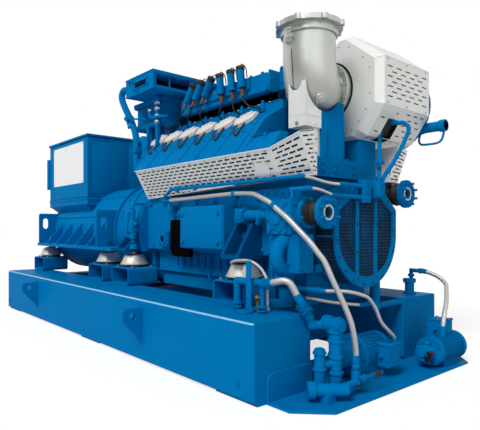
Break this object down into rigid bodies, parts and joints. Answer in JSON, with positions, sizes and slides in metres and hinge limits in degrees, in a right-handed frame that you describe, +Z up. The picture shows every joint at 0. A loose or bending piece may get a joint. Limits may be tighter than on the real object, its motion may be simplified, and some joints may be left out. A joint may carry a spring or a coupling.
{
  "type": "gas generator set",
  "caption": "Vee gas engine and alternator in line on a two-beam skid, with turbocharger, exhaust elbow, heat shields, terminal box and a pump tray at the free end.",
  "frame": {"origin": "on the floor, midway between the ends and between the lifting lugs", "axes": "+X along the shaft towards the turbocharger end, +Z up, -Y the side with the sign plate"},
  "size_m": [4.45, 2.11, 2.187],
  "materials": {
    "blue_paint": "semi-gloss enamel over castings and plate",
    "stainless_sheet": "satin perforated sheet",
    "grey_casting": "fine cast surface with a heat-proof grey coat",
    "white_cap": "satin light metal caps",
    "white_plate": "plain white enamel",
    "black_rubber": "ribbed moulded rubber",
    "dark_housing": "dark moulded cover",
    "dark_mesh": "dark woven wire",
    "braided_steel": "woven wire braid"
  },
  "bodies": {
    "genset": {"near_base_beam": "blue_paint", "far_base_beam": "blue_paint", "cross_members": "blue_paint", "lifting_lugs": "blue_paint", "front_tray": "blue_paint", "mount_stands": "blue_paint", "mount_bells": "stainless_sheet", "mount_bolts": "blue_paint", "generator_frame": "blue_paint", "generator_eye_plates": "blue_paint", "generator_end_cover": "blue_paint", "generator_adapter": "blue_paint", "terminal_box": "blue_paint", "terminal_box_lid": "blue_paint", "sign_plate": "white_plate", "flywheel_housing": "blue_paint", "crankcase": "blue_paint", "oil_pan": "blue_paint", "engine_feet": "blue_paint", "head_covers": "blue_paint", "plug_covers": "white_cap", "intake_manifold": "blue_paint", "ignition_coils": "blue_paint", "charge_air_duct": "blue_paint", "mixture_cooler": "blue_paint", "cooler_stand": "blue_paint", "air_inlet_box": "blue_paint", "breather_pipe": "blue_paint", "exhaust_shields": "stainless_sheet", "riser_shield": "stainless_sheet", "exhaust_elbow": "grey_casting", "exhaust_flange": "grey_casting", "turbine_shield": "stainless_sheet", "compressor": "blue_paint", "turbo_pedestal": "blue_paint", "front_gear_case": "blue_paint", "front_guard": "blue_paint", "guard_mesh": "dark_mesh", "crank_damper": "blue_paint", "water_pipes": "blue_paint", "water_bellows": "black_rubber", "water_flanges": "blue_paint", "side_covers": "blue_paint", "starter_housing": "dark_housing", "oil_pump": "blue_paint", "transfer_pump": "blue_paint", "oil_strainer": "blue_paint", "tank_fittings": "blue_paint", "oil_pipes": "blue_paint", "turbo_oil_pipes": "blue_paint", "long_braided_hose": "braided_steel", "thick_braided_hose": "braided_steel", "middle_braided_hoses": "braided_steel", "small_braided_hoses": "braided_steel", "tank_braided_hose": "braided_steel"},
    "lever": {"valve_lever": "blue_paint"}
  },
  "joints": [
    {"name": "valve_lever_turn", "type": "hinge", "parent": "genset", "child": "lever", "pos_m": [2.175, -0.36, 0.11], "axis": [1, 0, 0], "range_deg": [0, 90]}
  ]
}
